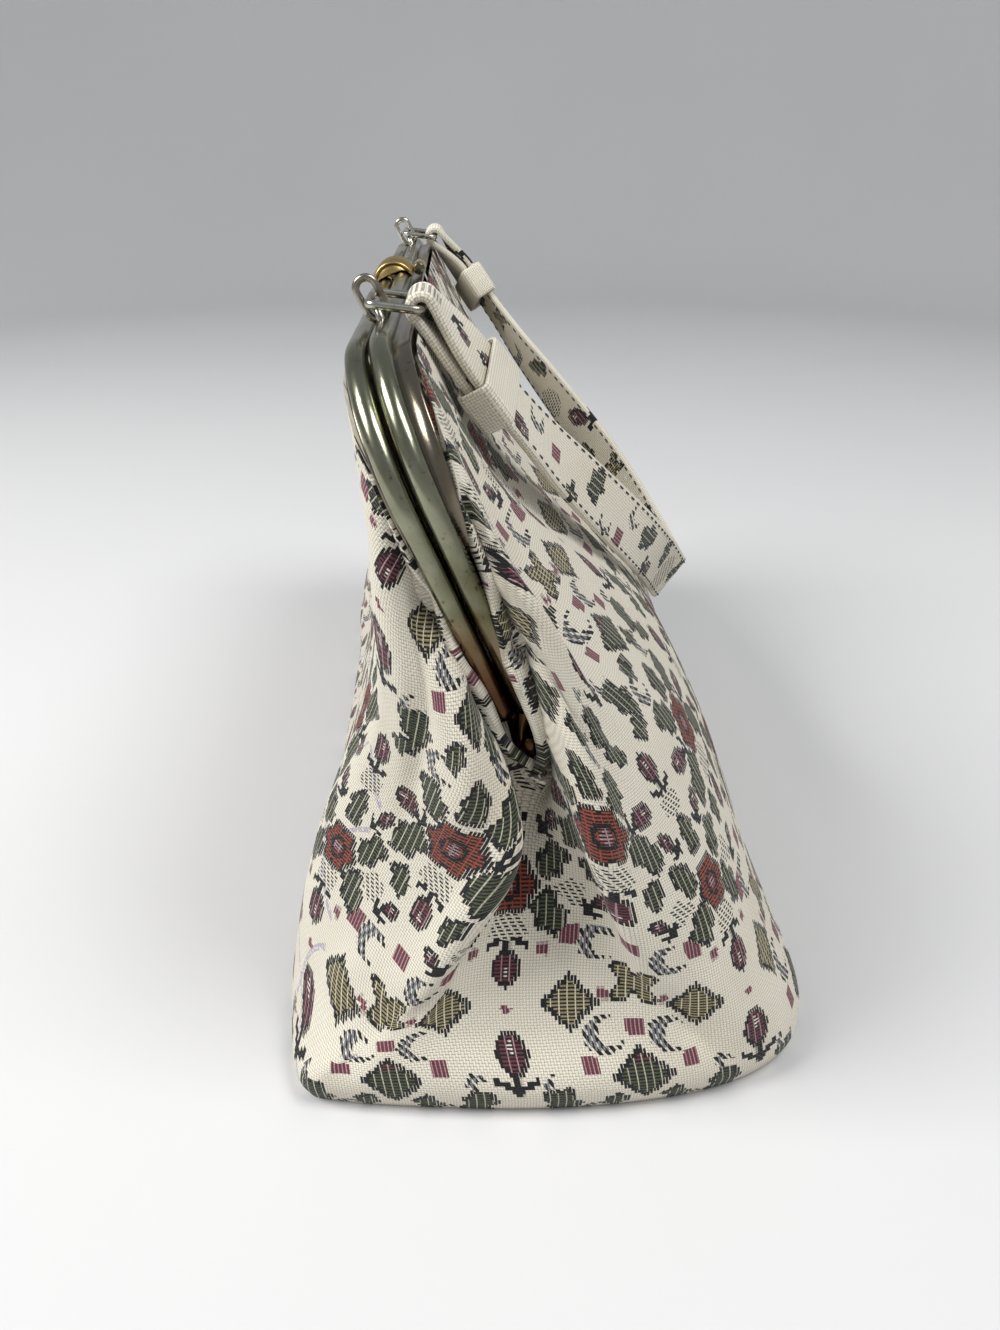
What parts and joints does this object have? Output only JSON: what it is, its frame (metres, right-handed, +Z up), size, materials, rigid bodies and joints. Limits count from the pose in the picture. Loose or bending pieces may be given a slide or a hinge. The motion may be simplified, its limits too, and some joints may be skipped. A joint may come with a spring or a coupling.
{
  "type": "tapestry frame handbag",
  "caption": "Woven-tapestry frame handbag, closed, standing on its flat base, with a hinged metal frame, a lever clasp and a strap handle on rings and links.",
  "frame": {"origin": "middle of the flat base, on the surface that the bag stands on", "axes": "+X along the bag's length, -Y to its front, +Y to its back where the handle lies, +Z up"},
  "size_m": [0.2748, 0.1214, 0.1641],
  "materials": {
    "tapestry": "plain-woven cream ground with woven motifs",
    "strap_cloth": "woven, flat sewn",
    "keeper_cloth": "plain woven",
    "frame_metal": "worn plated, antique silver over brass",
    "wire_metal": "worn plated wire",
    "clasp_metal": "bright gold tone"
  },
  "bodies": {
    "bag": {"bag_body": "tapestry", "frame_front": "frame_metal", "frame_back": "frame_metal", "rivet_near": "frame_metal", "rivet_far": "frame_metal", "handle_ring_near": "wire_metal", "handle_ring_far": "wire_metal", "strap_link_near": "wire_metal", "strap_link_far": "wire_metal", "handle_strap": "strap_cloth", "strap_keeper_near": "keeper_cloth", "strap_keeper_far": "keeper_cloth"},
    "clasp": {"clasp_lever": "clasp_metal"}
  },
  "joints": [
    {"name": "clasp_hinge", "type": "hinge", "parent": "bag", "child": "clasp", "pos_m": [0, -0.02715, 0.15704], "axis": [-1, 0, 0], "range_deg": [0, 70]}
  ]
}
